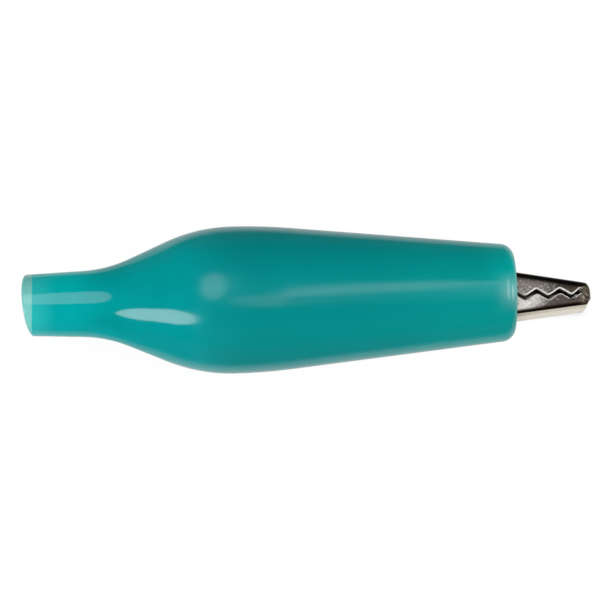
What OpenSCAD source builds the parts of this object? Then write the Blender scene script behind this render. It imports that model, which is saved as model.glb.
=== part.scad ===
// Insulated crocodile clip: two folded sheet jaws on one rivet, closed by a torsion spring,
// with a terminal screw in the tail and a soft boot over the whole clip.
// +X runs along the boot towards the jaws' nose and the rivet lies along Z.
// The origin is the centre of the boot's lead entry.

/* [Boot] */
// Length of the boot from the lead entry to the mouth
boot_len = 47.8; // [45:0.1:52]
// Outer radius of the neck at the lead entry
neck_r = 3.03; // [2.9:0.01:3.4]
// Draft of the neck
neck_draft = 2.1; // [1:0.1:3]
// Largest outer radius of the bulge
bulge_r = 7.2; // [7.1:0.01:7.8]
// Place of the largest radius along the boot
bulge_x = 20.5; // [19.5:0.1:22]
// Slope of the shoulder between neck and bulge
shoulder_slope = 23.3; // [20:0.1:27]
// Hollow radius where the neck flares out
throat_arc = 13; // [8:0.5:16]
// Radius of the rear shoulder of the bulge
shoulder_arc = 17.4; // [14:0.5:19]
// Radius of the front shoulder of the bulge
crest_arc = 55; // [40:1:70]
// Slope of the long front cone
front_slope = 5.88; // [5.2:0.02:6]
// Wall thickness of the boot
boot_wall = 0.9; // [0.7:0.05:1]
// Outer rounding of the mouth's lip
lip_arc = 1.35; // [0.8:0.05:1.4]
// Turn of that rounding before it meets the mouth's flat end
lip_turn = 65; // [50:1:66]
// Depth of the flat on the side that it lies on, which keeps it from rolling
side_flat = 0.35; // [0.3:0.05:0.45]
// Radius of the lead bore in the neck
lead_bore_r = 2; // [1.6:0.05:2.2]
// Length of the lead bore
lead_bore_len = 6; // [4:0.5:7]

/* [Jaws] */
// How far the nose reaches out of the boot's mouth
nose_reach = 7.5; // [6:0.05:9]
// Distance from the rivet to the nose
jaw_len = 14.3; // [13:0.05:15]
// How far the clip lies below the boot's axis
clip_drop = 0.55; // [0:0.05:0.7]
// Thickness of the jaws' sheet
sheet = 0.5; // [0.4:0.05:0.6]
// Outer width of both jaws at the teeth
jaw_w = 3.2; // [3:0.1:3.6]
// Outer radius of the sheet's long folds
fold_r = 0.75; // [0.65:0.05:1]
// Slope of the upper jaw's back in front of the rivet
upper_rake = 10.4; // [10:0.1:10.8]
// Height of the upper jaw's back above the rivet
upper_h = 3.65; // [3.55:0.01:3.7]
// Slope of the lower jaw's floor
lower_rake = 6.4; // [6:0.1:6.8]
// Depth of the lower jaw's floor below the rivet
lower_h = 2.98; // [2.9:0.01:3]
// Radius of the upper jaw's rounded nose
nose_r = 1.3; // [1.1:0.05:1.5]

/* [Teeth] */
// Distance between tooth tips
tooth_pitch = 2.27; // [2:0.01:2.5]
// Height of a tooth
tooth_h = 0.75; // [0.5:0.05:0.8]
// How far from its corner a tooth's rounding starts
tooth_soft = 0.22; // [0.1:0.02:0.3]
// Number of tooth tips on the upper jaw
teeth = 4; // [3:1:4]
// Distance from the nose to the first tip of the upper jaw
first_tip = 1.92; // [1.8:0.02:2.1]
// How far the upper jaw's tips reach below the rivet's axis
tip_drop = 0.18; // [0:0.02:0.3]
// Upright gap between the two rows of teeth
bite_gap = 0.55; // [0.4:0.05:0.8]
// How far the noses' parting line lies below the rivet's axis
nose_drop = 0.43; // [0.36:0.01:0.5]
// Gap between the two noses at rest
nose_gap = 0.05; // [0.03:0.01:0.1]

/* [Handles] */
// Distance from the rivet to the end of the upper jaw's lever
lever_len = 18; // [16:0.1:18.4]
// Depth of the lever's side flanges near the rivet
flange_deep = 1.8; // [1.5:0.1:2.1]
// Depth of the lever's side flanges at its end
flange_end = 0.6; // [0.55:0.05:0.8]
// Width of the lever's thumb pad
pad_w = 5; // [4:0.1:5.4]
// Length of the lever's thumb pad
pad_len = 6.5; // [5:0.1:8]
// Corner radius of the thumb pad
pad_r = 1.2; // [0.6:0.1:1.6]
// Clearance between the lever's end and the boot's wall
seat_gap = 0.25; // [0.15:0.01:0.4]
// Distance from the rivet to the bend where the tail runs level
tail_bend = 14; // [13:0.1:15]
// Distance from the rivet to the end of the tail
tail_len = 25.4; // [24.5:0.1:25.6]
// Height of the tail's side walls
tail_wall = 1.7; // [1.3:0.1:2]
// Length of the wings that hold the lead
wing_len = 2.3; // [1.8:0.1:2.6]
// Width of the gap between the wings
wing_gap = 1.5; // [1.2:0.1:2]

/* [Rivet and spring] */
// Radius of the rivet's shank
rivet_r = 0.9; // [0.75:0.05:1]
// Radius of the rivet's domed heads
rivet_head_r = 1.6; // [1.4:0.05:1.8]
// Height of the rivet's heads
rivet_head_h = 0.6; // [0.5:0.05:0.7]
// Clearance round the rivet's shank
pin_gap = 0.04; // [0.02:0.01:0.08]
// Clearance between neighbouring ears
ear_gap = 0.06; // [0.04:0.01:0.12]
// Radius of the upper jaw's ears
upper_ear_r = 2.1; // [1.8:0.05:2.2]
// Radius of the lower jaw's ears
lower_ear_r = 2.6; // [2.3:0.05:2.8]
// Diameter of the spring's wire
wire_d = 0.6; // [0.5:0.05:0.65]
// Number of whole coils of the spring
coils = 2; // [1:1:2]
// Radius of the coil's inside
coil_r = 1.15; // [1.1:0.05:1.3]
// How far the spring's legs reach behind the rivet
leg_len = 9; // [7:0.5:11]
// Gap between a leg and the jaw that it bears on
leg_gap = 0.03; // [0.02:0.01:0.05]

/* [Terminal screw] */
// Distance from the rivet to the screw's axis
screw_back = 20.7; // [20.4:0.1:21]
// Thread radius of the screw
screw_r = 1; // [0.8:0.05:1.1]
// Radius of the screw's head
screw_head_r = 1.9; // [1.6:0.05:2]
// Height of the screw's head
screw_head_h = 1.3; // [1.1:0.1:1.5]
// Room for the wire under the screw's head
wire_room = 0.5; // [0.3:0.1:0.8]
// Width of the screwdriver slot
slot_w = 0.5; // [0.4:0.05:0.7]
// Depth of the screwdriver slot
slot_deep = 0.6; // [0.4:0.05:0.8]
// Height of the threaded collar on the tail
collar_h = 0.7; // [0.5:0.1:0.9]
// Wall of the threaded collar
collar_wall = 0.45; // [0.3:0.05:0.6]

/* [Hidden] */
$fn = 48;
arc_steps = 7;
nose_x = boot_len + nose_reach;
pivot_x = nose_x - jaw_len;
half_w = jaw_w / 2;
outer_half = half_w + ear_gap + sheet;
// Length of cuts that pass right through, and how far shorter cuts reach beyond the faces
far = 60;
margin = 1;

// Points on an arc about c, from direction a to direction b
function arc(c, r, a, b, steps = arc_steps) =
    [for (i = [0 : steps]) c + r * [cos(a + (b - a) * i / steps), sin(a + (b - a) * i / steps)]];

// The boot's outline is a drafted neck, a hollow throat arc, a straight shoulder, a shoulder arc up to
// the bulge, a long crest arc and a straight cone. The same curve set in by the wall is the cavity.
shoulder_c = [bulge_x, bulge_r - shoulder_arc];
shoulder_end = shoulder_c + shoulder_arc * [-sin(shoulder_slope), cos(shoulder_slope)];
meet_x = (shoulder_end.y - neck_r - shoulder_end.x * tan(shoulder_slope))
    / (tan(neck_draft) - tan(shoulder_slope));
meet = [meet_x, neck_r + meet_x * tan(neck_draft)];
throat_run = throat_arc * tan((shoulder_slope - neck_draft) / 2);
throat_c = meet - throat_run * [cos(neck_draft), sin(neck_draft)]
    + throat_arc * [-sin(neck_draft), cos(neck_draft)];
crest_c = [bulge_x, bulge_r - crest_arc];
// Share of the shoulder's slope at which the side flat runs out of the surface
flat_share = 0.6;

function swell(inset) = concat(
    arc(throat_c, throat_arc + inset, neck_draft - 90, shoulder_slope - 90),
    arc(shoulder_c, shoulder_arc - inset, 90 + shoulder_slope, 90),
    arc(crest_c, crest_arc - inset, 90 - front_slope / 3, 90 - front_slope, 2));

// Radius of the front cone, set in by the wall, at a place along the boot
function cone_r(x, inset) = crest_c.y + (crest_arc - inset) / cos(front_slope)
    - (x - crest_c.x) * tan(front_slope);

// Radius of the bulge's crest, set in by the wall, at a place along the boot
function crest_r(x, inset) = crest_c.y + sqrt(pow(crest_arc - inset, 2) - pow(x - crest_c.x, 2));

// The upper jaw's back bends a little over the rivet, so that the thumb pad seats under the bulge's wall
lever_top = sqrt(pow(crest_r(pivot_x - lever_len, boot_wall) - seat_gap, 2) - pad_w * pad_w / 4)
    + clip_drop;
lever_rake = atan((lever_top - upper_h) / lever_len);

// Heights of the upper jaw's back and of the lower jaw's floor, from the rivet, at u along the clip
function back_v(u) = upper_h - u * tan(u > 0 ? upper_rake : lever_rake);
function floor_v(u) = -lower_h + u * tan(lower_rake);
tail_v = floor_v(-tail_bend);
tip_u = jaw_len - first_tip;
notch_v = tooth_h - tip_drop;
valley_v = -tip_drop - bite_gap;
peak_v = valley_v + tooth_h;
// Share of a pitch from the last tip to the notch behind the nose
nose_notch = 0.4;
nose_c = [jaw_len - nose_r, back_v(jaw_len - nose_r) - nose_r / cos(upper_rake)];
// How far the lower jaw's nose stays behind the upper jaw's
chin_back = 0.12;
// Half the width of the noses' flat front, and the radius of the corners beside it in plan
nose_flat = 0.5;
plan_r = half_w - nose_flat;
// The lower jaw's walls step out to its ears in front of the upper jaw's ears, by this clearance
joggle_clear = 0.5;
joggle_u = upper_ear_r + joggle_clear;
// Where the lever's side flanges start to deepen towards the ears
lever_bend = 6;
// How far the thumb pad lies under the face of the channel's back
pad_tuck = 0.03;
// Share of an ear's radius at which the straight edges start, so that they start inside its circle
tuck = 0.97;
// The wings' ring stands a little above the tail's underside and inside its sides, and laps the end
// of the flat floor
wing_lift = 0.08;
wing_inset = 0.06;
wing_lap = 0.7;
wing_r = outer_half - wing_inset;
plate_end = wing_len - tail_len - wing_lap;
// Direction in which the rivet's domed head ends at its small flat top
dome_end = 84;

// Corners of one row of teeth, from the rear to the nose. Upper tips and lower valleys share their places.
function tooth_row(between_v, tip_v) =
    [for (i = [teeth - 1 : -1 : 0]) each [
        [tip_u - (i + 0.5) * tooth_pitch, between_v],
        [tip_u - i * tooth_pitch, tip_v]]];

// The same line with each inner corner rounded over by a short curve that starts cut away from it
function softened(line, cut) = [for (i = [0 : len(line) - 1])
    if (i == 0 || i == len(line) - 1) line[i]
    else let (
            p = line[i],
            a = p + cut * (line[i - 1] - p) / norm(line[i - 1] - p),
            b = p + cut * (line[i + 1] - p) / norm(line[i + 1] - p))
        each [a, (a + 2 * p + b) / 4, b]];

module in_clip() {
    translate([pivot_x, -clip_drop, 0]) children();
}

// A flat outline of the clip's side view, centred on the middle plane
module across(width) {
    translate([0, 0, -width / 2]) linear_extrude(width) children();
}

// The same outline as two plates, one each side of the middle plane
module across_pair(inner, thick) {
    for (z = [inner, -inner - thick])
        translate([0, 0, z]) linear_extrude(thick) children();
}

// A bar along a fold line: h from the rivet, sloping down by a towards the nose, its top edges rounded
module folded_bar(h, a, half, r) {
    rotate([0, 0, -a]) translate([-far / 2, 0, 0]) rotate([90, 0, 90]) linear_extrude(far) {
        translate([h - far, -half]) square([far - r, 2 * half]);
        translate([h - far, r - half]) square([far, 2 * (half - r)]);
        for (side = [-1, 1])
            translate([h - r, side * (half - r)]) circle(r);
    }
}

// The bars of the upper jaw's back, the lower jaw's floor and the level tail, set in by the sheet or not
module back_bar(half, inset) {
    intersection_for(rake = [upper_rake, lever_rake])
        folded_bar(upper_h * cos(rake) - inset, rake, half - inset, fold_r - inset);
}

module floor_bar(half, inset) {
    mirror([0, 1, 0])
        folded_bar(lower_h * cos(lower_rake) - inset, lower_rake, half - inset, fold_r - inset);
}

module tail_bar(half, inset) {
    mirror([0, 1, 0]) folded_bar(-tail_v - inset, 0, half - inset, fold_r - inset);
}

// The noses' plan view, with rounded front corners
module plan_round(inset) {
    rotate([90, 0, 0]) translate([0, 0, -far / 2]) linear_extrude(far) {
        translate([-far, inset - half_w])
            square([far + jaw_len - plan_r, 2 * (half_w - inset)]);
        translate([0, plan_r - half_w]) square([jaw_len - inset, 2 * (half_w - plan_r)]);
        for (side = [-1, 1])
            translate([jaw_len - plan_r, side * (half_w - plan_r)]) circle(plan_r - inset);
    }
}

module upper_outline() {
    polygon(concat(
        [[0, upper_h + sheet],
         [-lever_len, back_v(-lever_len) + sheet],
         [-lever_len, back_v(-lever_len) - flange_end],
         [-lever_bend, back_v(-lever_bend) - flange_deep],
         [-upper_ear_r * tuck, 0],
         [upper_ear_r * cos(60), notch_v]],
        softened(concat(tooth_row(notch_v, -tip_drop),
            [[tip_u + tooth_pitch * nose_notch, notch_v],
             [jaw_len - sheet, -nose_drop]]), tooth_soft),
        [[jaw_len, -nose_drop]],
        arc(nose_c, nose_r, 0, 90 - upper_rake)));
    circle(upper_ear_r);
}

module upper_cavity() {
    polygon(concat(
        [[-far, far], [-far, -far], [jaw_len - sheet, -far]],
        arc(nose_c, nose_r - sheet, 0, 90 - upper_rake), [[0, far]]));
}

// The lever's end spreads into a flat pad that lies just under the channel's back
module thumb_pad() {
    rotate([0, 0, -lever_rake])
        translate([-lever_len / cos(lever_rake), upper_h * cos(lever_rake) - pad_tuck, 0])
        rotate([90, 0, 0]) linear_extrude(sheet) {
            translate([0, pad_r - pad_w / 2]) square([pad_r, pad_w - 2 * pad_r]);
            for (side = [-1, 1])
                translate([pad_r, side * (pad_w / 2 - pad_r)]) circle(pad_r);
            polygon([[pad_r, -pad_w / 2], [pad_r, pad_w / 2], [pad_len - pad_w / 2, pad_w / 2],
                [pad_len, half_w - fold_r], [pad_len, fold_r - half_w], [pad_len - pad_w / 2, -pad_w / 2]]);
        }
}

// Folded sheet jaw with the lever: a toothed channel, its nose closed by the same sheet
module upper_jaw() {
    color([0.72, 0.7, 0.66]) in_clip() difference() {
        union() {
            intersection() {
                across(jaw_w) upper_outline();
                back_bar(half_w, 0);
                plan_round(0);
            }
            thumb_pad();
        }
        intersection() {
            across(jaw_w) upper_cavity();
            back_bar(half_w, sheet);
            plan_round(sheet);
        }
        cylinder(h = far, r = rivet_r + pin_gap, center = true);
    }
}

module lower_front_outline() {
    polygon(concat(
        [[joggle_u, floor_v(joggle_u) - sheet], [joggle_u, valley_v]],
        softened(concat(tooth_row(peak_v, valley_v),
            [[tip_u + tooth_pitch * nose_notch, peak_v],
             [jaw_len - sheet, -nose_drop - nose_gap]]), tooth_soft),
        [[jaw_len - chin_back, -nose_drop - nose_gap],
         [jaw_len - chin_back - sheet, floor_v(jaw_len - chin_back - sheet)],
         [jaw_len - chin_back - sheet, floor_v(jaw_len) - sheet]]));
}

module lower_cavity() {
    polygon([[-far, -far], [-far, far], [jaw_len - chin_back - sheet, far],
        [jaw_len - chin_back - sheet, -nose_drop], [jaw_len - chin_back - 2 * sheet, floor_v(jaw_len)],
        [jaw_len - chin_back - 2 * sheet, -far]]);
}

module lower_front() {
    difference() {
        intersection() {
            across(jaw_w) lower_front_outline();
            floor_bar(half_w, 0);
            plan_round(0);
        }
        intersection() {
            across(jaw_w) lower_cavity();
            floor_bar(half_w, sheet);
            plan_round(sheet);
        }
    }
}

// The channel's walls step out to the ears, which stand outside the upper jaw's
module joggle() {
    intersection() {
        across_pair(half_w - sheet, 2 * sheet + ear_gap) polygon([
            [joggle_u, floor_v(joggle_u)], [joggle_u, valley_v],
            [joggle_u + sheet, valley_v], [joggle_u + sheet, floor_v(joggle_u + sheet)]]);
        floor_bar(outer_half, 0);
    }
}

// The rear of the lower jaw in side view: the tail, its low walls, the ears and the joggle
module lower_rear_outline() {
    polygon([[plate_end, tail_v - sheet], [plate_end, tail_v + tail_wall],
        [-tail_bend, tail_v + tail_wall],
        [-lower_ear_r * 2, floor_v(-lower_ear_r * 2) + tail_wall],
        [-lower_ear_r * tuck, 0], [lower_ear_r * tuck * cos(30), lower_ear_r * tuck / 2],
        [joggle_u + sheet, valley_v], [joggle_u + sheet, tail_v - sheet]]);
    circle(lower_ear_r);
}

// The floor slopes down from the nose and runs level in the tail, so both folds bound it
module lower_rear() {
    difference() {
        intersection() {
            across(2 * outer_half) lower_rear_outline();
            floor_bar(outer_half, 0);
            tail_bar(outer_half, 0);
        }
        difference() {
            intersection() {
                floor_bar(outer_half, sheet);
                tail_bar(outer_half, sheet);
            }
            joggle();
        }
        tongue_cut();
    }
}

// The walls stop short of the screw, which leaves the floor there as a bare tongue
module tongue_cut() {
    translate([-far, tail_v + sheet, -outer_half - margin])
        cube([far - screw_back + screw_head_r + sheet / 2, far, 2 * (outer_half + margin)]);
}

module wings() {
    translate([-tail_len, tail_v + wing_lift + wing_r, 0]) rotate([90, 0, 90]) linear_extrude(wing_len)
        difference() {
            circle(wing_r);
            circle(wing_r - sheet);
            translate([0, -wing_gap / 2]) square([far, wing_gap]);
        }
}

// Folded sheet jaw with the ears, the tail, the threaded collar and the wings
module lower_jaw() {
    color([0.76, 0.74, 0.7]) in_clip() difference() {
        union() {
            lower_front();
            joggle();
            lower_rear();
            wings();
            screw_place() translate([0, 0, -collar_h - sheet / 2])
                cylinder(h = collar_h + sheet / 2, r = screw_r + collar_wall);
        }
        cylinder(h = far, r = rivet_r + pin_gap, center = true);
        screw_place() cylinder(h = far, r = screw_r + pin_gap, center = true);
    }
}

// The terminal screw's place: the collar's top, with the thread pointing along -Z there
module screw_place() {
    translate([-screw_back, tail_v + sheet + collar_h, 0]) rotate([-90, 0, 0]) children();
}

module terminal_screw() {
    shank = wire_room + collar_h + sheet;
    color([0.8, 0.72, 0.45]) in_clip() screw_place() difference() {
        union() {
            translate([0, 0, wire_room]) cylinder(h = screw_head_h, r = screw_head_r);
            translate([0, 0, wire_room - shank]) cylinder(h = shank, r = screw_r);
        }
        translate([-screw_head_r - margin, -slot_w / 2, wire_room + screw_head_h - slot_deep])
            cube([2 * (screw_head_r + margin), slot_w, slot_deep + margin]);
    }
}

// Rivet with a domed head on one side and a spread head on the other
module rivet() {
    seat = outer_half + ear_gap / 2;
    dome = (rivet_head_r * rivet_head_r + rivet_head_h * rivet_head_h) / (2 * rivet_head_h);
    color([0.66, 0.64, 0.6]) in_clip() {
        cylinder(h = 2 * seat, r = rivet_r, center = true);
        translate([0, 0, seat]) rotate_extrude() polygon(concat([[0, 0]],
            arc([0, rivet_head_h - dome], dome, acos(rivet_head_r / dome), dome_end), [[0, rivet_head_h]]));
        mirror([0, 0, 1]) translate([0, 0, seat]) rotate_extrude() polygon(concat(
            [[0, 0], [rivet_head_r, 0]],
            arc([rivet_head_r - rivet_head_h / 2, 0], rivet_head_h / 2, 0, 90, 4),
            [[rivet_r / 2, rivet_head_h / 2], [rivet_r / 3, rivet_head_h / 4], [0, rivet_head_h / 4]]));
    }
}

// The spring is one wire: a leg under the lever, the coils round the rivet, a leg on the tail's floor.
// Each leg is a tangent of the coil that ends where the leg bears on its jaw.
coil_mid = coil_r + wire_d / 2;
bear = wire_d / 2 + leg_gap;
top_end = [-leg_len, back_v(-leg_len) - (sheet + bear) / cos(lever_rake)];
low_end = [-leg_len, floor_v(-leg_len) + (sheet + bear) / cos(lower_rake)];
top_turn = atan2(top_end.y, top_end.x) + asin(coil_mid / norm(top_end)) - 90;
low_turn = atan2(low_end.y, low_end.x) - asin(coil_mid / norm(low_end)) + 90;
turn_total = 360 * coils + top_turn - low_turn;
coil_rise = wire_d * 1.02 * turn_total / 360;
coil_rings = round(turn_total / 15);

wire_path = concat(
    [[top_end.x, top_end.y, coil_rise / 2]],
    [for (i = [0 : coil_rings]) let (a = top_turn - turn_total * i / coil_rings)
        [coil_mid * cos(a), coil_mid * sin(a), coil_rise * (0.5 - i / coil_rings)]],
    [[low_end.x, low_end.y, -coil_rise / 2]]);

// A round wire swept along a path of points, with a ring of corners at each point
module wire(path, r, sides = 10) {
    last = len(path) - 1;
    points = [for (k = [0 : last]) let (
            along = path[min(k + 1, last)] - path[max(k - 1, 0)],
            t = along / norm(along),
            side = cross(t, [0, 0, 1]) / norm(cross(t, [0, 0, 1])),
            up = cross(side, t))
        each [for (j = [0 : sides - 1]) let (a = 360 * j / sides)
            path[k] + r * (cos(a) * side + sin(a) * up)]];
    faces = concat(
        [[for (j = [0 : sides - 1]) j]],
        [for (k = [0 : last - 1]) each [for (j = [0 : sides - 1]) let (n = (j + 1) % sides)
            [k * sides + n, k * sides + j, (k + 1) * sides + j, (k + 1) * sides + n]]],
        [[for (j = [sides - 1 : -1 : 0]) last * sides + j]]);
    polyhedron(points, faces);
}

module torsion_spring() {
    color([0.5, 0.5, 0.52]) in_clip() wire(wire_path, wire_d / 2);
}

// A solid turned about the boot's axis from points [along, radius]
module turned(points) {
    rotate([0, 90, 0]) rotate_extrude($fn = 96) polygon([for (p = points) [p.y, p.x]]);
}

// Side view that trims the boot's lower side flat. The flat follows the bulge and runs out on the shoulder.
module side_trim() {
    run_out = shoulder_slope * flat_share;
    rear = arc(shoulder_c, shoulder_arc - side_flat, 90 + run_out, 90);
    clear_x = lead_bore_len + 2 * margin;
    edge = concat(
        [[-margin, far], [clear_x, far], [clear_x, rear[0].y - (rear[0].x - clear_x) * tan(run_out)]], rear,
        arc(crest_c, crest_arc - side_flat, 90 - front_slope / 3, 90 - front_slope, 2),
        [[boot_len + margin, cone_r(boot_len + margin, side_flat)]]);
    rotate([90, 0, 0]) translate([0, 0, -far]) linear_extrude(2 * far)
        polygon(concat([for (p = edge) [p.x, -p.y]], [[boot_len + margin, far], [-margin, far]]));
}

// Soft moulded boot: a turned wall, thinner along the flat, a straight lead bore and a rounded lip
module boot() {
    lip_x = boot_len - lip_arc * sin(lip_turn);
    lip_c = [lip_x, cone_r(lip_x, lip_arc)];
    color([0, 0.57, 0.56]) difference() {
        intersection() {
            turned(concat([[0, 0], [0, neck_r]], swell(0),
                arc(lip_c, lip_arc, 90 - front_slope, 90 - lip_turn), [[boot_len, 0]]));
            side_trim();
        }
        turned(concat([[-margin, 0], [-margin, lead_bore_r], [lead_bore_len, lead_bore_r]],
            [for (p = swell(boot_wall)) if (p.x > lead_bore_len) p],
            [[boot_len + margin, cone_r(boot_len + margin, boot_wall)], [boot_len + margin, 0]]));
    }
}

boot();
upper_jaw();
lower_jaw();
rivet();
torsion_spring();
terminal_screw();
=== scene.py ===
"""Looks of an insulated crocodile clip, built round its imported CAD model, in metres."""

import math

import bpy
import numpy as np
from mathutils import Matrix, Vector


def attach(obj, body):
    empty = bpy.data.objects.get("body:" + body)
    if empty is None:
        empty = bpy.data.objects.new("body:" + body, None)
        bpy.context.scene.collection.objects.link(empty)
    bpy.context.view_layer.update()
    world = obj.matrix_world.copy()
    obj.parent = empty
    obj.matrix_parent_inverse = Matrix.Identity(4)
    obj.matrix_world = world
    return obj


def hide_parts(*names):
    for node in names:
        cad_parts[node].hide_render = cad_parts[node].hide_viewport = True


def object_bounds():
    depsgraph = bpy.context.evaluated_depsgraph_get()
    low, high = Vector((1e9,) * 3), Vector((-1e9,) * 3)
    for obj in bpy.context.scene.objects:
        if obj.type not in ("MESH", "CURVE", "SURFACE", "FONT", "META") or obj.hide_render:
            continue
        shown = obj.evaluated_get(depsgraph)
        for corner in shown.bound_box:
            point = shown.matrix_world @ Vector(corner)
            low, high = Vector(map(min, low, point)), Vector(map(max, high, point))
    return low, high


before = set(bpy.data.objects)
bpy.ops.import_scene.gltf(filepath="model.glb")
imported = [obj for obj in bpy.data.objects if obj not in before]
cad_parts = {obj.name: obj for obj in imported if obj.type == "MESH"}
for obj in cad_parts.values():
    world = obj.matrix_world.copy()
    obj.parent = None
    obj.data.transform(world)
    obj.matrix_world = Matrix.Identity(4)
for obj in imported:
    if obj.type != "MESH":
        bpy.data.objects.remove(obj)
cad_low, cad_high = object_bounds()
MM = 0.001

# Shader arithmetic


class Value:
    """A shader socket that takes part in arithmetic; each expression adds its Math node."""

    def __init__(self, net, socket):
        self.net = net
        self.socket = socket

    def _math(self, operation, *terms):
        return self.net.node("ShaderNodeMath", {"operation": operation}, dict(enumerate(terms)))

    def __add__(self, other):
        return self._math("ADD", self, other)

    def __sub__(self, other):
        return self._math("SUBTRACT", self, other)

    def __rsub__(self, other):
        return self._math("SUBTRACT", other, self)

    def __mul__(self, other):
        return self._math("MULTIPLY", self, other)

    def __gt__(self, other):
        return self._math("GREATER_THAN", self, other)

    __radd__ = __add__
    __rmul__ = __mul__

    def ramp(self, low, high, start=0.0, end=1.0):
        """Goes smoothly from start to end as the value passes from low to high."""
        return self.net.node(
            "ShaderNodeMapRange",
            {"interpolation_type": "SMOOTHSTEP"},
            {"Value": self, "From Min": low, "From Max": high, "To Min": start, "To Max": end},
        )

    def fade(self, low, high):
        """Goes smoothly from 1 to 0 as the value passes from low to high."""
        return self.ramp(low, high, 1.0, 0.0)


class Finish:
    """The nodes of one material, or of the world, with a single method that adds any node."""

    def __init__(self, owner, ending="ShaderNodeOutputMaterial"):
        owner.use_nodes = True
        self.owner = owner
        self.ending = ending
        self.tree = owner.node_tree
        self.tree.nodes.clear()

    def node(self, kind, settings=None, inputs=None, out=0):
        """Adds a node with its settings and its sockets' values or links, and gives one of its outputs."""
        made = self.tree.nodes.new(kind)
        for key, value in (settings or {}).items():
            setattr(made, key, value)
        for key, value in (inputs or {}).items():
            if isinstance(value, Value):
                self.tree.links.new(value.socket, made.inputs[key])
            elif value is not None:
                made.inputs[key].default_value = value
        return Value(self, made.outputs[out]) if len(made.outputs) else None

    def close(self, shader):
        """Leads a shader to the output, and gives the material or the world."""
        self.node(self.ending, {}, {"Surface": shader})
        return self.owner

    def ray(self, kind):
        """1 for light paths of that kind, such as Camera or Glossy, and 0 for others."""
        return self.node("ShaderNodeLightPath", out=f"Is {kind} Ray")

    def part(self, vector, axis):
        """One coordinate of a vector: 0 for X, 1 for Y, 2 for Z."""
        return self.node("ShaderNodeSeparateXYZ", {}, {"Vector": vector}, out=axis)

    def place(self):
        """The place on the piece, in metres."""
        return self.node("ShaderNodeTexCoord", out="Object")

    def along(self, axis):
        """One coordinate of that place, in millimetres."""
        return self.part(self.place(), axis) * (1.0 / MM)

    def noise(self, scale, detail, rough=0.55):
        """Noise with that many cells to a millimetre."""
        spot = self.node("ShaderNodeMapping", {}, {"Vector": self.place(), "Scale": [1.0 / MM] * 3})
        return self.node(
            "ShaderNodeTexNoise",
            {},
            {"Vector": spot, "Scale": scale, "Detail": detail, "Roughness": rough},
            out="Fac",
        )

    def blend(self, share, one, two):
        """A colour that goes from one to two with share."""
        return self.node("ShaderNodeMix", {"data_type": "RGBA"}, {"Factor": share, 6: one, 7: two}, out=2)

    def bump(self, height, depth, strength, normal=None):
        """A normal tilted by the slope of height, whose whole range is that depth in metres."""
        return self.node(
            "ShaderNodeBump",
            {},
            {"Height": height, "Distance": depth, "Strength": strength, "Normal": normal},
        )

    def surface(self, **sockets):
        """Ends the material in one Principled shader with these sockets."""
        names = {key.replace("_", " ").title().replace("Ior", "IOR"): v for key, v in sockets.items()}
        return self.close(self.node("ShaderNodeBsdfPrincipled", {}, names))


def new_finish(name):
    """An empty finish for a new material of that name."""
    return Finish(bpy.data.materials.new(name))


def colour(red, green, blue):
    """A colour given as it looks on screen, 0 to 255, turned to the linear values of a shader."""
    shown = np.array([red, green, blue]) / 255.0
    linear = np.where(shown <= 0.04045, shown / 12.92, ((shown + 0.055) / 1.055) ** 2.4)
    return (*linear.tolist(), 1.0)


# Camera

X_AXIS, Y_AXIS, Z_AXIS = (1.0, 0.0, 0.0), (0.0, 1.0, 0.0), (0.0, 0.0, 1.0)
CAMERA_TILT, CAMERA_ROLL = 76.42, 1.5445
CAMERA_DISTANCE = 0.176
CAMERA_REACH = (0.005, 10.0)
LOOK_ALONG, LOOK_BELOW = 0.026985, 0.000178
SENSOR_WIDTH, PICTURE_PIXELS, MM_TO_A_PIXEL = 36.0, 600, 0.09793
MIDDLE = Vector((LOOK_ALONG, 0.0, 0.0))


def aim(thing, back, up):
    """Turns a camera or lamp so that it looks against back, with up towards the top of its picture."""
    back = Vector(back).normalized()
    right = Vector(up).cross(back).normalized()
    thing.rotation_euler = Matrix((right, back.cross(right), back)).transposed().to_euler()


def make_camera():
    """Looks down on the clip from the side of -Y, tilted and rolled as in the photograph."""
    tilt, roll = math.radians(CAMERA_TILT), math.radians(CAMERA_ROLL)
    back = Vector((0.0, -math.cos(tilt), math.sin(tilt)))
    level = Vector((0.0, math.sin(tilt), math.cos(tilt)))
    up = math.sin(roll) * Vector(X_AXIS) + math.cos(roll) * level
    camera = bpy.data.objects.new("camera", bpy.data.cameras.new("camera"))
    bpy.context.scene.collection.objects.link(camera)
    camera.data.sensor_width = SENSOR_WIDTH
    camera.data.lens = SENSOR_WIDTH * CAMERA_DISTANCE / (PICTURE_PIXELS * MM_TO_A_PIXEL * MM)
    camera.data.clip_start, camera.data.clip_end = CAMERA_REACH
    camera.location = MIDDLE - LOOK_BELOW * up + CAMERA_DISTANCE * back
    aim(camera, back, up)
    bpy.context.scene.camera = camera


make_camera()
bpy.context.scene.view_settings.view_transform = "Standard"

# Lamps

# Each soft box has its name, place, width and height, the radiance of its face, and its way up.
SOFT_BOXES = (
    ("overhead soft box", (-0.095, 0.065, 0.43), (0.16, 0.33), 3.2, Y_AXIS),
    ("side soft box", (-0.450, -0.300, 0.260), (0.214, 0.494), 8.5, (-0.628, 0.447, -0.637)),
    ("right soft box", (0.335, -0.04, 0.43), (0.23, 0.42), 5.5, Y_AXIS),
    ("low right soft box", (0.55, -0.03, 0.15), (0.22, 0.24), 6.5, Z_AXIS),
    ("long strip light", (0.135, 0.002, 0.43), (0.052, 0.23), 3.2, (0.38, 0.92, 0.0)),
    ("short strip light", (0.058, -0.128, 0.43), (0.10, 0.15), 1.6, (0.52, -0.85, 0.0)),
)
# The fill lights the clip alone, and doesn't show in its reflections.
FILL = ("low front fill", (0.027, -0.42, 0.17), (0.50, 0.22), 0.95, Z_AXIS)


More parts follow.
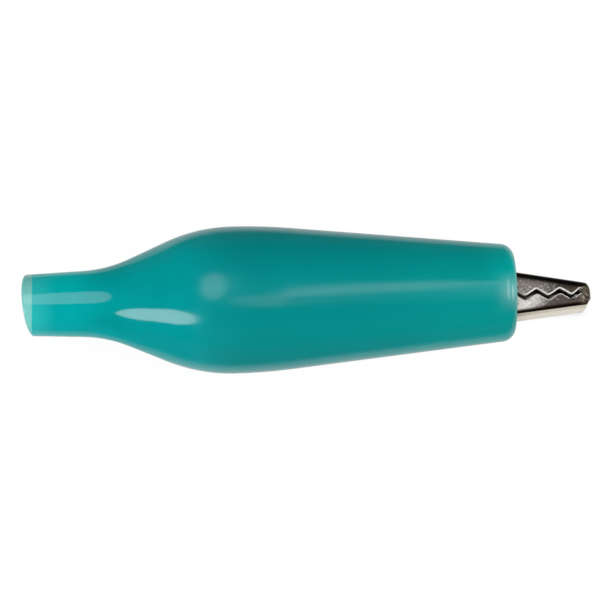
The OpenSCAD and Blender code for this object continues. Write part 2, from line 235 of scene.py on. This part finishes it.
def make_lamp(name, spot, size, radiance, up):
    """An oval soft box at that spot, whose face has that radiance, aimed at the middle of the clip."""
    lamp = bpy.data.objects.new(name, bpy.data.lights.new(name, "AREA"))
    bpy.context.scene.collection.objects.link(lamp)
    lamp.data.shape = "ELLIPSE"
    lamp.data.size, lamp.data.size_y = size
    face = math.pi / 4 * size[0] * size[1]
    lamp.data.energy = radiance * math.pi * face
    lamp.location = spot
    aim(lamp, Vector(spot) - MIDDLE, up)
    return lamp


for soft_box in SOFT_BOXES:
    make_lamp(*soft_box)
make_lamp(*FILL).visible_glossy = False

# Floor and sky

WHITE = (1.0, 1.0, 1.0, 1.0)
FLOOR_HALF, FLOOR_GREY = 3.0, (0.86, 0.86, 0.86, 1.0)
# The light that the camera sees in place of the floor's own grey, and the share that it takes.
FLOOR_SEEN, FLOOR_SHARE = 1.02, 0.93
# In reflections, the light of the strip along the clip and of the rest, and the strip's two soft edges.
CARD_LIGHT, CARD_DIM = 0.72, 0.08
CARD_FRONT, CARD_BACK = (-17.0, -12.0), (20.0, 28.0)
# The shade under the clip: how deep it is, and its soft edges along and across the clip.
SHADE = 0.92
SHADE_START, SHADE_END = (6.0, 20.0), (54.9, 56.4)
SHADE_FRONT, SHADE_BACK = (-1.4, 0.9), (1.3, 2.7)
# The sky's light on the clip, and its light in reflections.
SKY_LIGHT, SKY_GLOSS = 0.2, 0.024


def make_floor():
    """A wide pale floor, white to the camera but for the shade under the clip.

    In reflections only a strip along the clip is bright, and the rest is dim, like card laid on a bench.
    """
    half, low = FLOOR_HALF, cad_low.z
    mesh = bpy.data.meshes.new("floor")
    corners = [(-half, -half, low), (half, -half, low), (half, half, low), (-half, half, low)]
    mesh.from_pydata(corners, [], [(0, 1, 2, 3)])
    floor = bpy.data.objects.new("floor", mesh)
    bpy.context.scene.collection.objects.link(floor)
    finish = new_finish("floor")
    camera_ray, glossy_ray = finish.ray("Camera"), finish.ray("Glossy")
    along, across = finish.along(0), finish.along(1)
    card = across.ramp(*CARD_FRONT, CARD_DIM, CARD_LIGHT) * across.ramp(*CARD_BACK, 1.0, CARD_DIM)
    under = along.ramp(*SHADE_START) * along.fade(*SHADE_END)
    under = under * across.ramp(*SHADE_FRONT) * across.fade(*SHADE_BACK)
    shine = card * glossy_ray + (FLOOR_SEEN - SHADE * under) * camera_ray
    share = camera_ray * FLOOR_SHARE + glossy_ray
    matt = finish.node("ShaderNodeBsdfDiffuse", {}, {"Color": FLOOR_GREY})
    lit = finish.node("ShaderNodeEmission", {}, {"Color": WHITE, "Strength": shine})
    mixed = finish.node("ShaderNodeMixShader", {}, {0: share, 1: matt, 2: lit})
    floor.data.materials.append(finish.close(mixed))


def make_sky():
    """A dim even world, white to the camera."""
    world = bpy.data.worlds.new("world")
    bpy.context.scene.world = world
    sky = Finish(world, "ShaderNodeOutputWorld")
    seen, shone = 1.0 - SKY_LIGHT, SKY_GLOSS - SKY_LIGHT
    strength = SKY_LIGHT + seen * sky.ray("Camera") + shone * sky.ray("Glossy")
    sky.close(sky.node("ShaderNodeBackground", {}, {"Color": WHITE, "Strength": strength}))


make_floor()
make_sky()

# Surfaces on a grid


def place_mesh(name, points, faces, body, material):
    """Puts points and faces into a new smooth piece that rides on a body."""
    mesh = bpy.data.meshes.new(name)
    mesh.from_pydata(points.tolist(), [], faces)
    mesh.polygons.foreach_set("use_smooth", np.full(len(mesh.polygons), True))
    mesh.materials.append(material)
    mesh.update()
    piece = bpy.data.objects.new(name, mesh)
    bpy.context.scene.collection.objects.link(piece)
    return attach(piece, body)


def grid_faces(rows, columns, wrap_rows=False):
    """Quads between neighbouring rings of a grid whose columns close on themselves."""
    i, j = np.meshgrid(np.arange(rows if wrap_rows else rows - 1), np.arange(columns), indexing="ij")
    i, j = i.ravel(), j.ravel()
    below, beside = (i + 1) % rows, (j + 1) % columns
    corners = [i * columns + j, i * columns + beside, below * columns + beside, below * columns + j]
    return np.stack(corners, 1).tolist()


def arc(centre, radius, start, end, steps):
    """Points at equal angles on a circle, from start to end in degrees."""
    turn = np.radians(np.linspace(start, end, steps))
    return np.array(centre) + radius * np.stack([np.cos(turn), np.sin(turn)], 1)


def smooth(values):
    """Goes from 0 to 1 with level ends, as the values do: three squares less two cubes."""
    held = np.clip(values, 0.0, 1.0)
    return held**2 * (3.0 - 2.0 * held)


# Boot

# Lengths are in millimetres and angles in degrees, as in the CAD source.
BOOT_LEN, NECK_R, NECK_DRAFT = 47.8, 3.03, 2.12
BULGE_X, BULGE_R = 20.5, 7.2
SHOULDER_SLOPE, SHOULDER_ARC, THROAT_ARC = 23.3, 17.4, 13.0
CREST_ARC, FRONT_SLOPE = 55.0, 5.88
CREST_CENTRE = np.array([BULGE_X, BULGE_R - CREST_ARC])
BOOT_WALL, LIP_ARC, LIP_TURN = 0.9, 1.35, 65.0
LEAD_BORE_R, LEAD_BORE_LEN = 2.0, 6.0
SIDE_FLAT, FLAT_SHARE, FLAT_START = 0.35, 0.6, LEAD_BORE_LEN + 2.0

# The lead end: the round of its edges, its two slants and how far it stands back.
LEAD_EDGE, LEAD_SLANT, LEAD_LEAN, LEAD_TRIM = 0.22, 4.4, 5.5, 0.2
# The throat on the broad faces: how far it shifts, where that starts, peaks and ends, and its power.
FACE_SHIFT, FACE_START, FACE_PEAK, FACE_END, FACE_POWER = 1.45, 3.0, 8.5, 20.0, 6
# Points on the arcs and round the boot, and the longest steps along its outer and inner walls.
OUTER_STEPS, INNER_STEPS, LIP_STEPS, EDGE_STEPS, BOOT_TURNS = 20, 14, 12, 7, 168
OUTER_STEP, INNER_STEP = 0.8, 0.9


def boot_wall_line(inset, steps):
    """Hollow throat arc, straight shoulder, shoulder arc and crest arc, set in by inset.

    The throat arc touches the drafted neck and the shoulder's slope, on both sides of where they would meet.
    """
    slope, draft = np.radians([SHOULDER_SLOPE, NECK_DRAFT])
    shoulder_centre = np.array([BULGE_X, BULGE_R - SHOULDER_ARC])
    shoulder_x, shoulder_r = shoulder_centre + SHOULDER_ARC * np.array([-np.sin(slope), np.cos(slope)])
    meet_x = (shoulder_r - NECK_R - shoulder_x * np.tan(slope)) / (np.tan(draft) - np.tan(slope))
    meet = np.array([meet_x, NECK_R + meet_x * np.tan(draft)])
    run = THROAT_ARC * np.tan((slope - draft) / 2)
    throat_centre = meet - run * np.array([np.cos(draft), np.sin(draft)])
    throat_centre = throat_centre + THROAT_ARC * np.array([-np.sin(draft), np.cos(draft)])
    throat = arc(throat_centre, THROAT_ARC + inset, NECK_DRAFT - 90, SHOULDER_SLOPE - 90, steps)
    shoulder = arc(shoulder_centre, SHOULDER_ARC - inset, 90 + SHOULDER_SLOPE, 90, steps)
    crest = arc(CREST_CENTRE, CREST_ARC - inset, 90, 90 - FRONT_SLOPE, steps)[1:]
    return np.concatenate([throat, shoulder, crest])


def cone_radius(x, inset):
    """Radius of the boot's front at x: a cone that touches the crest arc, set in by inset."""
    front = math.radians(FRONT_SLOPE)
    return CREST_CENTRE[1] + (CREST_ARC - inset) / math.cos(front) - (x - BULGE_X) * math.tan(front)


def divide_line(points, longest):
    """The same line with no step longer than longest."""
    steps = np.linalg.norm(np.diff(points, axis=0), axis=1)
    run = np.concatenate([[0.0], np.cumsum(steps)])
    spans = [
        np.linspace(a, b, max(int(np.ceil((b - a) / longest)), 1), endpoint=False)
        for a, b in zip(run[:-1], run[1:])
    ]
    places = np.concatenate([*spans, run[-1:]])
    return np.stack([np.interp(places, run, points[:, 0]), np.interp(places, run, points[:, 1])], 1)


def flat_depth(x):
    """Half height of the boot at its flat.

    It follows the shoulder's arc, the crest's arc and the cone, set in by the flat's depth, and behind them
    a straight run-out with a share of the shoulder's slope.
    """
    run_out = math.radians(SHOULDER_SLOPE * FLAT_SHARE)
    shoulder_arc, crest_arc = SHOULDER_ARC - SIDE_FLAT, CREST_ARC - SIDE_FLAT
    centre = BULGE_R - SHOULDER_ARC
    start = BULGE_X - shoulder_arc * math.sin(run_out)
    behind = centre + shoulder_arc * math.cos(run_out) - (start - x) * math.tan(run_out)
    shoulder = centre + np.sqrt(np.maximum(shoulder_arc**2 - (x - BULGE_X) ** 2, 0.0))
    past_crest = np.minimum(x - BULGE_X, CREST_ARC / 2)
    crest = CREST_CENTRE[1] + np.sqrt(crest_arc**2 - past_crest**2)
    front = cone_radius(x, SIDE_FLAT)
    bend = BULGE_X + CREST_ARC * math.sin(math.radians(FRONT_SLOPE))
    return np.where(x < start, behind, np.where(x < BULGE_X, shoulder, np.where(x < bend, crest, front)))


def boot_profile():
    """Closed outline [along, radius]: lead end, outer wall, rounded lip, inner wall and lead bore."""
    outer = boot_wall_line(0.0, OUTER_STEPS)
    inner = boot_wall_line(BOOT_WALL, INNER_STEPS)
    inner = inner[inner[:, 0] > LEAD_BORE_LEN]
    lip_x = BOOT_LEN - LIP_ARC * math.sin(math.radians(LIP_TURN))
    lip = arc([lip_x, cone_radius(lip_x, LIP_ARC)], LIP_ARC, 90 - FRONT_SLOPE, 90 - LIP_TURN, LIP_STEPS)
    mouth_r = cone_radius(BOOT_LEN, BOOT_WALL)
    outer_edge = arc([LEAD_EDGE, NECK_R - LEAD_EDGE], LEAD_EDGE, 180, 90, EDGE_STEPS)
    inner_edge = arc([LEAD_EDGE, LEAD_BORE_R + LEAD_EDGE], LEAD_EDGE, 270, 180, EDGE_STEPS)
    return np.concatenate([
        outer_edge,
        divide_line(np.concatenate([outer, lip[:1]]), OUTER_STEP)[:-1],
        lip,
        divide_line(np.concatenate([[[BOOT_LEN, mouth_r]], inner[::-1]]), INNER_STEP),
        [[LEAD_BORE_LEN, LEAD_BORE_R]],
        inner_edge,
    ])


def make_boot(material):
    """Turns the profile about the boot's axis, levels its underside at the flat, and trims the lead end.

    On the faces towards Z the throat lies further along than on the sides: x grows there by the shift,
    times a smooth rise and fall along the boot, times 1 - cos(angle from Y)^6.
    The lead end slants across Y and leans across Z; both fade out along the lead bore.
    """
    profile = boot_profile()
    angle = np.linspace(0.0, 2 * np.pi, BOOT_TURNS, endpoint=False)
    along = np.repeat(profile[:, :1], BOOT_TURNS, 1)
    y = profile[:, 1:] * np.cos(angle)
    z = profile[:, 1:] * np.sin(angle)
    slant = (NECK_R - y) * math.tan(math.radians(LEAD_SLANT)) - z * math.tan(math.radians(LEAD_LEAN))
    rise = smooth((along - FACE_START) / (FACE_PEAK - FACE_START))
    fall = smooth((FACE_END - along) / (FACE_END - FACE_PEAK))
    along = along + FACE_SHIFT * rise * fall * (1.0 - np.cos(angle) ** FACE_POWER)
    z = np.where(along > FLAT_START, np.maximum(z, -flat_depth(along)), z)
    along = along + (slant + LEAD_TRIM) * np.clip(1.0 - along / LEAD_BORE_LEN, 0.0, 1.0)
    points = np.stack([along, y, z], 2).reshape(-1, 3) * MM
    faces = grid_faces(len(profile), BOOT_TURNS, wrap_rows=True)
    boot = place_mesh("soft_boot", points, faces, "boot", material)
    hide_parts("boot")


# Spring

PIVOT = np.array([41.0, -0.55, 0.0])
COIL_R, WIRE_R, COILS, COIL_PITCH = 1.45, 0.3, 2, 1.02
TOP_END, LOW_END = np.array([-9.0, 3.985]), np.array([-9.0, -3.154])
# How far each leg laps into the coil, in degrees, and its radius there.
LEG_LAP, SLIM_R = 40.0, 0.262
# The share of a leg in which it widens, and the places of its circles as shares of the leg.
LEG_WIDENS, LEG_PLACES = 0.08, np.linspace(0.04, 1.0, 24)
COIL_STEPS, LAP_STEPS, WIRE_SIDES = 150, 14, 20
DOME = np.radians([20.0, 40.0, 60.0, 78.0])


def tube(path, radius):
    """Round wire with domed ends: a circle across the path at each point, of one radius or one for each.

    A dome's circles lie at its angles: the cosine shrinks them, and the sine moves them on past the end.
    """
    radius = np.broadcast_to(radius, len(path))
    step = np.gradient(path, axis=0)
    ahead = step / np.linalg.norm(step, axis=1, keepdims=True)
    side = np.cross(ahead, Z_AXIS)
    side = side / np.linalg.norm(side, axis=1, keepdims=True)
    over = np.cross(ahead, side)
    shrink, push, rings = np.cos(DOME), np.sin(DOME), len(DOME)
    size = np.concatenate([shrink[::-1], np.ones(len(path)), shrink])[:, None, None]
    shift = np.concatenate([-push[::-1], np.zeros(len(path)), push])[:, None, None]
    row = np.concatenate([np.zeros(rings, int), np.arange(len(path)), np.full(rings, len(path) - 1)])
    turn = np.linspace(0.0, 2 * np.pi, WIRE_SIDES, endpoint=False)[None, :, None]
    ring = size * (np.cos(turn) * side[row][:, None] + np.sin(turn) * over[row][:, None])
    points = path[row][:, None] + radius[row][:, None, None] * (ring + shift * ahead[row][:, None])
    poles = path[[0, -1]] + radius[[0, -1], None] * ahead[[0, -1]] * np.array([[-1.0], [1.0]])
    j = np.arange(WIRE_SIDES)
    beside = (j + 1) % WIRE_SIDES
    last = (len(row) - 1) * WIRE_SIDES
    first_pole = np.full(WIRE_SIDES, len(row) * WIRE_SIDES)
    fans = np.concatenate([
        np.stack([first_pole, beside, j], 1),
        np.stack([first_pole + 1, last + j, last + beside], 1),
    ])
    faces = grid_faces(len(row), WIRE_SIDES) + fans.tolist()
    return np.concatenate([points.reshape(-1, 3), poles]), faces


def coil_path(start, end, high, low, steps):
    """Helix of the wire's middle, from one angle and height to another, about the pivot."""
    turn = np.radians(np.linspace(start, end, steps))
    height = np.linspace(high, low, steps)
    return PIVOT + np.stack([COIL_R * np.cos(turn), COIL_R * np.sin(turn), height], 1)


def touching_turn(end, side):
    """Angle on the coil, in degrees, at which a straight leg to that end leaves it as a tangent.

    It lies to one side of the end's bearing, by 90 degrees less the angle whose sine is the coil's radius
    over the end's distance.
    """
    bearing = math.degrees(math.atan2(end[1], end[0]))
    lean = math.degrees(math.asin(COIL_R / math.hypot(*end)))
    return bearing + side * (lean - 90.0)


def leg_path(lap, end):
    """The lap inside the coil and the straight leg from its last point to the end, with all their radii."""
    tip = PIVOT + np.array([*end, lap[-1, 2]])
    path = np.concatenate([lap, lap[-1] + LEG_PLACES[:, None] * (tip - lap[-1])])
    widening = np.interp(LEG_PLACES, [0.0, LEG_WIDENS], [SLIM_R, WIRE_R])
    return path, np.concatenate([np.full(len(lap), SLIM_R), widening])


def make_spring(material):
    """Two coils on the rivet and a straight leg, tangent to the coil, that rides on each jaw.

    Each leg starts inside the wire of the coil, a little thinner, and so stays joined as its jaw turns.
    """
    top_turn, low_turn = touching_turn(TOP_END, 1.0), touching_turn(LOW_END, -1.0)
    total = 360.0 * COILS + top_turn - low_turn
    rise = 2 * WIRE_R * COIL_PITCH * total / 360.0
    top, low = rise / 2, -rise / 2
    lap_rise = rise * LEG_LAP / total
    coil = coil_path(top_turn, top_turn - total, top, low, COIL_STEPS)
    upper_lap = coil_path(top_turn - LEG_LAP, top_turn, top - lap_rise, top, LAP_STEPS)
    lower_lap = coil_path(low_turn + LEG_LAP, low_turn, low + lap_rise, low, LAP_STEPS)
    for name, body, path, radius in (
        ("spring_coil", "rivet", coil, WIRE_R),
        ("spring_upper_leg", "upper_jaw", *leg_path(upper_lap, TOP_END)),
        ("spring_lower_leg", "lower_jaw", *leg_path(lower_lap, LOW_END)),
    ):
        points, faces = tube(path, radius)
        piece = place_mesh(name, points * MM, faces, body, material)
        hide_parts("torsion_spring")


# Boot's material

# A bump's depth is in metres. Pairs of places are in millimetres: a tone starts to change at the first,
# and has changed at the second. The rim is the lead end, which leans that far for each millimetre of height.
SKIN_DEPTH = 0.00001
# The neck's lit teal and the far side's teal are painted light; the clouding teal is the vinyl's own.
NECK_LIT_TEAL, CLOUD_TEAL, FAR_SIDE_LIGHT_TEAL = colour(0, 157, 159), colour(0, 122, 123), colour(0, 200, 196)
# The front's teal is painted light, the near side's teal painted shade, and the lip's pale a painted
# highlight.
FRONT_LIGHT_TEAL, NEAR_SIDE_SHADE_TEAL, LIP_HIGHLIGHT = colour(0, 170, 164), colour(0, 110, 108), colour(152, 192, 188)
# Painted light at the lead end, where light comes in through the cut face.
RIM_LIGHT_TEAL, RIM_LIGHT_PALE = colour(60, 185, 180), colour(126, 196, 188)
# Tones along the boot after the neck's: the neck's paler teal near the lead end is painted light, as if lit
# through its thin wall; the bulge is darker and the cone lighter again.
TEAL_CHANGES = (
    ((4.0, 12.0), colour(0, 145, 147)),
    ((15.0, 23.0), colour(0, 131, 132)),
    ((28.0, 46.0), colour(0, 140, 137)),
)
PALE_START, PALE_END, PALE_SIDE = (3.0, 9.0), (13.0, 22.0), (-0.5, 3.0)
FRONT_START, FRONT_SIDE = (43.5, 46.5), (-1.5, 1.0)
DEEP_START, DEEP_SIDE, DEEP_HEIGHT_SQUARED = (5.0, 8.0), (-2.5, -0.5), (0.5, 6.0)
SHOULDER_START, SHOULDER_END = (8.5, 11.0), (15.0, 22.0)
LIP_START, LIP_NEAR_SIDE, LIP_FAR_SIDE = (45.2, 48.2), (-3.2, -0.9), (-0.7, 1.3)
RIM_LEAN, RIM_SOFT, RIM_SHARP = 0.15, (0.8, 3.4), (0.66, 0.78)
GLOSS_END, CONE_START = (15.6, 17.8), (20.0, 24.0)


def soft_plastic():
    """Glossy teal vinyl with faint clouding and a moulded skin.

    It is paler at the thin neck, on the neck's far side, on the far side near the mouth, at the trimmed lead
    end and in a patch at the lip, all painted light, the lip's patch a painted highlight;
    deeper along the near side, which is painted shade; and smoother up to the shoulder than along the cone.
    """
    finish = new_finish("teal vinyl")
    along, across, height = finish.along(0), finish.along(1), finish.along(2)
    clouds = finish.noise(0.25, 3.0)
    # Painted light: the neck starts paler, as if lit through its thin wall.
    body = NECK_LIT_TEAL
    for places, tone in TEAL_CHANGES:
        body = finish.blend(along.ramp(*places), body, tone)
    body = finish.blend(clouds.ramp(0.35, 0.7, 0.0, 0.2), body, CLOUD_TEAL)
    # Painted light: paler on the far side of the neck, where the lamps light it too little.
    pale = across.ramp(*PALE_SIDE) * along.ramp(*PALE_START, 0.6, 0.17) * along.fade(*PALE_END)
    body = finish.blend(pale, body, FAR_SIDE_LIGHT_TEAL)
    # Painted light: paler on the far side near the mouth.
    front = across.ramp(*FRONT_SIDE) * along.ramp(*FRONT_START, 0.0, 0.35)
    body = finish.blend(front, body, FRONT_LIGHT_TEAL)
    shoulder = along.ramp(*SHOULDER_START) * along.fade(*SHOULDER_END)
    # Painted shade: darker on the near side from the neck on, less so over the shoulder.
    deep = across.ramp(*DEEP_SIDE, 0.28, 0.0) * along.ramp(*DEEP_START)
    deep = deep * (height * height).ramp(*DEEP_HEIGHT_SQUARED) * shoulder.ramp(0.0, 1.0, 1.0, 0.3)
    body = finish.blend(deep, body, NEAR_SIDE_SHADE_TEAL)
    # Painted highlight: a pale haze on the lip.
    lip = along.ramp(*LIP_START, 0.0, 0.4) * across.ramp(*LIP_NEAR_SIDE) * across.fade(*LIP_FAR_SIDE)
    body = finish.blend(lip, body, LIP_HIGHLIGHT)
    # Painted light: a soft and a sharp paler band at the lead end, leaning with it.
    rim = along - height * RIM_LEAN
    body = finish.blend(rim.ramp(*RIM_SOFT, 0.4, 0.0), body, RIM_LIGHT_TEAL)
    body = finish.blend(rim.ramp(*RIM_SHARP, 0.8, 0.0), body, RIM_LIGHT_PALE)
    skin = finish.noise(1.2, 2.0)
    fine = finish.noise(9.0, 2.0)
    return finish.surface(
        base_color=body,
        roughness=along.ramp(*GLOSS_END, 0.07, 0.18) - along.ramp(*CONE_START, 0.0, 0.03) + 0.03 * clouds,
        specular_ior_level=0.28,
        normal=finish.bump(skin + 0.12 * fine, SKIN_DEPTH, 0.6),
    )


# Jaws' material

# The speck glint is partly pale specks of the plating, partly painted glints.
SPECK_GLINT, SPECK_DARK, NOSE_TAN = colour(250, 247, 242), colour(100, 92, 84), colour(160, 145, 116)
# The web's cream is a painted reflection, the hollow's dark is painted shade, and the cut edges' white is
# partly painted highlight.
WEB_REFLECTION_CREAM, HOLLOW_SHADE, CUT_EDGE_HIGHLIGHT = colour(238, 230, 214), colour(30, 26, 22), colour(255, 253, 248)
# Painted shade: brown bands along each fold, and over the upper fold's rounding.
UPPER_BAND_SHADE, UPPER_FOLD_SHADE, LOWER_BAND_SHADE = colour(46, 40, 34), colour(46, 40, 33), colour(38, 29, 22)
# How far each fold nears the middle for each millimetre past the pivot.
UPPER_TILT, LOWER_TILT = 0.183, 0.112
# Places across the clip, put right for that tilt: of the painted shade along each fold, and of the limit of
# the bright cut edges, partly painted highlight.
UPPER_BAND_SHADE_AT, LOWER_BAND_SHADE_AT = (1.8, 2.7), (-3.1, -2.6)
UPPER_EDGE_HIGHLIGHT_TO, LOWER_EDGE_HIGHLIGHT_FROM = (2.3, 2.45), (-2.6, -2.4)
# The share of the normal that looks away from the teeth: on the web, on the fold and beside the teeth.
ON_WEB, UPPER_ROUND, LOWER_ROUND, TOOTH_SIDE = (0.8, 0.97), (0.05, 0.5), (0.58, 0.68), (0.2, 0.3)
WEB_REFLECTION_START, NOSE_START, NOSE_END = (43.0, 48.0), (53.7, 54.6), (54.2, 54.45)
INNER_NEAR, INNER_FAR, INNER_START = (-1.25, -1.15), (1.15, 1.25), 43.0
TEETH_LOW, TEETH_HIGH, TEETH_START, TEETH_OUT = (-2.0, -1.9), (0.45, 0.55), 44.0, 0.9
# The radius in metres that rounds the edges in the light, and the squared share of Z at which the bright cut
# edges, partly painted highlight, fade.
EDGE_ROUND, EDGE_HIGHLIGHT_FADE = 0.0002, (0.87, 0.985)


def jaw_nickel(name, fold_side, near, far, turn_x):
    """Nickel on folded sheet: pale specks, partly painted glints, painted shade along the fold, a painted
    reflection on the lower web, and bright cut edges on the teeth, partly painted highlight.

    fold_side is +1 where the fold looks to +Y; the flanks go from the near to the far tone past turn_x, a
    painted reflection that is bright near the boot and dark towards the nose.
    """
    finish = new_finish(name)
    along, across, side = finish.along(0), finish.along(1), finish.along(2)
    grain = finish.noise(11.0, 4.0, 0.7)
    specks = finish.noise(4.5, 3.0, 0.7)
    stain = finish.noise(1.1, 4.0, 0.6)
    true = finish.node("ShaderNodeNewGeometry", out="True Normal")
    fold = finish.part(true, 1) * fold_side
    flank = finish.part(true, 2)
    off_web = fold.fade(*ON_WEB)
    past_pivot = along - PIVOT[0]

    reach = along - 0.9 * across + 1.6 * stain
    # Painted reflection: the flanks are bright near the boot and dark towards the nose, with a wavy edge
    # from noise.
    base = finish.blend(reach.ramp(turn_x - 1.2, turn_x + 1.4), near, far)
    # Pale specks of the plating, stronger near the boot as painted glints.
    pale = specks.ramp(0.54, 0.70) * reach.ramp(turn_x - 0.5, turn_x + 3.0, 0.75, 0.1)
    base = finish.blend(pale, base, SPECK_GLINT)
    base = finish.blend(specks.ramp(0.34, 0.50, 0.45, 0.0), base, SPECK_DARK)

    if fold_side > 0:
        level = across + UPPER_TILT * past_pivot
        off_fold = level.fade(*UPPER_EDGE_HIGHLIGHT_TO)
        web_reflection = 0.0
        # Painted shade: a dark band along the upper fold and over its rounding.
        base = finish.blend(level.ramp(*UPPER_BAND_SHADE_AT, 0.0, 0.8) * off_web, base, UPPER_BAND_SHADE)
        base = finish.blend(fold.ramp(*UPPER_ROUND) * off_web, base, UPPER_FOLD_SHADE)
    else:
        level = across - LOWER_TILT * past_pivot
        off_fold = level.ramp(*LOWER_EDGE_HIGHLIGHT_FROM)
        # Painted reflection: cream and less metallic on the lower web, where it faces the floor.
        web_reflection = fold.ramp(*LOWER_ROUND) * along.ramp(*WEB_REFLECTION_START)
        # Painted shade: a dark band along the lower fold.
        base = finish.blend(level.fade(*LOWER_BAND_SHADE_AT) * off_web, base, LOWER_BAND_SHADE)
        base = finish.blend(web_reflection, base, WEB_REFLECTION_CREAM)

    # Painted shade inside the channel, between the jaw's walls.
    inside = side.ramp(*INNER_NEAR) * side.fade(*INNER_FAR) * (along > INNER_START)
    base = finish.blend(inside * fold.ramp(-0.2, 0.4, 0.8, 0.0), base, HOLLOW_SHADE)
    base = finish.blend(specks.ramp(0.48, 0.60, 0.0, 0.4) * along.ramp(*NOSE_START), base, NOSE_TAN)

    rounded = finish.node("ShaderNodeBevel", {"samples": 8}, {"Radius": EDGE_ROUND})
    upright = finish.part(rounded, 2)
    teeth = across.ramp(*TEETH_LOW) * across.fade(*TEETH_HIGH) * (along > TEETH_START)
    teeth = teeth * (side > TEETH_OUT) * fold.fade(*TOOTH_SIDE) * along.fade(*NOSE_END) * off_fold
    # Bright cut edges on the teeth: partly bare cut metal, partly painted highlight, less metallic.
    cut = (upright * upright).fade(*EDGE_HIGHLIGHT_FADE) * teeth
    base = finish.blend(cut, base, CUT_EDGE_HIGHLIGHT)
    return finish.surface(
        base_color=base,
        metallic=1.0 - 0.85 * cut - 0.5 * web_reflection,
        roughness=0.26 + 0.14 * grain + 0.15 * cut + 0.04 * (flank * flank),
        normal=finish.bump(grain + 0.4 * stain, SKIN_DEPTH, 0.5, rounded),
    )


# Small parts' materials

LINE_PALE = colour(245, 242, 234)
BRASS, BRASS_DARK, THREAD_GROOVE_SHADE = colour(226, 190, 112), colour(168, 126, 62), colour(96, 68, 32)
SCREW_X, SCREW_SEAT, THREAD_PITCH, THREAD_DEPTH = 20.3, -3.9, 0.4, 0.0001


def plated(name, tone, dark, rough):
    """Plated small part: fine pale specks, and darker in the hollows of a slow stain."""
    finish = new_finish(name)
    fine = finish.noise(12.0, 4.0, 0.65)
    stain = finish.noise(1.4, 4.0, 0.6)
    base = finish.blend(stain.ramp(0.35, 0.7, 0.0, 0.7), tone, dark)
    base = finish.blend(fine.ramp(0.55, 0.8, 0.0, 0.35), base, LINE_PALE)
    return finish.surface(
        base_color=base,
        metallic=1.0,
        roughness=rough + 0.12 * fine,
        normal=finish.bump(fine, SKIN_DEPTH, 0.4),
    )


def screw_brass():
    """Brass with a cut thread below the head.

    The thread is a sine wave, with one crest for each pitch down the screw and for each turn round its axis.
    """
    finish = new_finish("screw brass")
    along, down, side = finish.along(0), finish.along(1), finish.along(2)
    turn = finish.node("ShaderNodeMath", {"operation": "ARCTAN2"}, {0: side, 1: along - SCREW_X})
    winding = down * (2 * math.pi / THREAD_PITCH) + turn
    wave = finish.node("ShaderNodeMath", {"operation": "SINE"}, {0: winding})
    shank = down > SCREW_SEAT
    fine = finish.noise(10.0, 4.0, 0.65)
    stain = finish.noise(1.0, 4.0, 0.6)
    base = finish.blend(stain.ramp(0.35, 0.7, 0.0, 0.7), BRASS, BRASS_DARK)
    # Painted shade in the thread's grooves.
    base = finish.blend(wave.ramp(-1.0, -0.2, 0.6, 0.0) * shank, base, THREAD_GROOVE_SHADE)
    return finish.surface(
        base_color=base,
        metallic=1.0,
        roughness=0.24 + 0.16 * fine,
        normal=finish.bump(wave * shank * 0.5 + fine * 0.1, THREAD_DEPTH, 0.8),
    )


# Pieces and their materials


def dress(node, material):
    """Gives a CAD node its material."""
    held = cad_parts[node]
    held.data.materials.clear()
    held.data.materials.append(material)


make_boot(soft_plastic())
# Each jaw's near and far tones: a painted reflection, bright near the boot.
dress("upper_jaw", jaw_nickel("upper jaw nickel", 1.0, colour(146, 140, 132), colour(78, 71, 63), 51.8))
dress("lower_jaw", jaw_nickel("lower jaw nickel", -1.0, colour(244, 240, 235), colour(90, 82, 76), 52.2))
dress("rivet", plated("rivet nickel", colour(205, 200, 190), colour(150, 142, 130), 0.24))
make_spring(plated("spring steel", colour(176, 174, 170), colour(110, 104, 98), 0.26))
dress("terminal_screw", screw_brass())

# End

bpy.context.view_layer.update()
